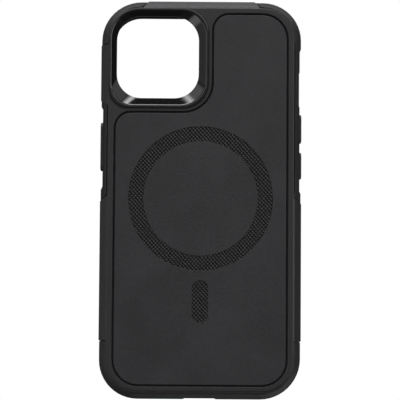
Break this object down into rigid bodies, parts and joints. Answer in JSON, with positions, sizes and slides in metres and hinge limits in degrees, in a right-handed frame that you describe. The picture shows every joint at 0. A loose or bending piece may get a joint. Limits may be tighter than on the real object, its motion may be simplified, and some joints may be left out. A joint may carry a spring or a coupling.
{
  "type": "phone case",
  "caption": "Two-layer protective phone case: soft tray, hard frame with side wings, inset back panel, gloss camera bezel, ring of magnets and press-through side buttons.",
  "frame": {"origin": "middle of the front lip plane, under the middle of the case", "axes": "+Z outward through the back, +Y to the phone's top edge, +X to the volume-button side as seen from the back"},
  "size_m": [0.079, 0.156, 0.0126],
  "materials": {
    "soft_sleeve": "fine matte grain, black",
    "hard_shell": "satin, black, fine spark texture",
    "back_panel": "matte, very dark blue-grey, fine grain",
    "gloss_bezel": "polished black",
    "woven_inlay": "moulded woven pattern, black",
    "carrier_film": "translucent white film",
    "magnet": "nickel plate, faint brushed",
    "button": "satin, black"
  },
  "bodies": {
    "case": {"inner_sleeve": "soft_sleeve", "outer_shell": "hard_shell", "back_panel": "back_panel", "camera_bezel": "gloss_bezel", "ring_inlay": "woven_inlay", "bar_inlay": "woven_inlay", "ring_carrier_film": "carrier_film", "bar_carrier_film": "carrier_film", "ring_magnet_01": "magnet", "ring_magnet_02": "magnet", "ring_magnet_03": "magnet", "ring_magnet_04": "magnet", "ring_magnet_05": "magnet", "ring_magnet_06": "magnet", "ring_magnet_07": "magnet", "ring_magnet_08": "magnet", "ring_magnet_09": "magnet", "ring_magnet_10": "magnet", "ring_magnet_11": "magnet", "ring_magnet_12": "magnet", "ring_magnet_13": "magnet", "ring_magnet_14": "magnet", "ring_magnet_15": "magnet", "ring_magnet_16": "magnet", "ring_magnet_17": "magnet", "ring_magnet_18": "magnet", "bar_magnet_1": "magnet", "bar_magnet_2": "magnet"},
    "volume_up": {"volume_up_button": "button"},
    "volume_down": {"volume_down_button": "button"},
    "power": {"power_button": "button"}
  },
  "joints": [
    {"name": "volume_up_press", "type": "slide", "parent": "case", "child": "volume_up", "axis": [-1, 0, 0], "range_m": [0, 0.00045], "stiffness_N_per_m": 400},
    {"name": "volume_down_press", "type": "slide", "parent": "case", "child": "volume_down", "axis": [-1, 0, 0], "range_m": [0, 0.00045], "stiffness_N_per_m": 400},
    {"name": "power_press", "type": "slide", "parent": "case", "child": "power", "axis": [1, 0, 0], "range_m": [0, 0.00045], "stiffness_N_per_m": 400}
  ]
}
